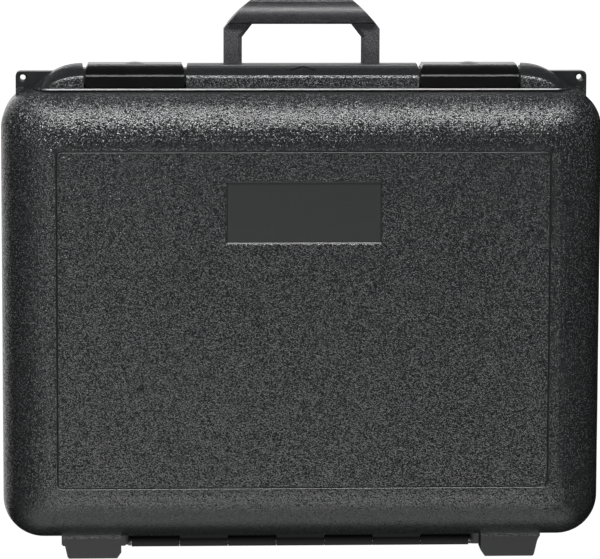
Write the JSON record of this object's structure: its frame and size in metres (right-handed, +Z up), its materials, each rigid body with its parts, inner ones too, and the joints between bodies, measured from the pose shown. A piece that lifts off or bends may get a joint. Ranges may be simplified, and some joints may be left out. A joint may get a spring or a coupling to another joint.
{
  "type": "microphone carrying case",
  "caption": "Blow-moulded carrying case with a hinged lid, two snap-over latches, swing-up handle, padlock eyelets and a fitted foam interior.",
  "frame": {"origin": "on the table under the middle of the closed case, which lies on its back as it does to be opened", "axes": "+Z up through the base and then the lid, -Y towards the handle and the latches, +Y towards the hinge and the feet, +X to the right as seen from the handle's side"},
  "size_m": [0.445, 0.4154, 0.118],
  "materials": {
    "shell_plastic": "grained black polyethylene",
    "latch_plastic": "smooth glossy black acetal",
    "handle_plastic": "smooth satin black polypropylene",
    "bare_steel": "drawn zinc-plated steel rod",
    "foam": "charcoal open-cell polyurethane foam"
  },
  "bodies": {
    "base": {"base_shell": "shell_plastic", "hinge_rod": "bare_steel", "hinge_caps": "handle_plastic", "latch_pins": "bare_steel", "handle_pins": "bare_steel", "base_foam_upper": "foam", "base_foam_lower": "foam", "base_pad": "foam"},
    "lid": {"lid_shell": "shell_plastic", "lid_foam": "foam"},
    "left_latch": {"latch_left": "latch_plastic"},
    "right_latch": {"latch_right": "latch_plastic"},
    "handle": {"carry_handle": "handle_plastic"}
  },
  "joints": [
    {"name": "lid_hinge", "type": "hinge", "parent": "base", "child": "lid", "pos_m": [0, 0.19915, 0.071], "axis": [-1, 0, 0], "range_deg": [0, 110]},
    {"name": "left_latch_pivot", "type": "hinge", "parent": "base", "child": "left_latch", "pos_m": [-0.1235, -0.15385, 0.0615], "axis": [1, 0, 0], "range_deg": [0, 100]},
    {"name": "right_latch_pivot", "type": "hinge", "parent": "base", "child": "right_latch", "pos_m": [0.1235, -0.15385, 0.0615], "axis": [1, 0, 0], "range_deg": [0, 100]},
    {"name": "handle_pivot", "type": "hinge", "parent": "base", "child": "handle", "pos_m": [0, -0.15245, 0.0653], "axis": [1, 0, 0], "range_deg": [0, 90]}
  ]
}
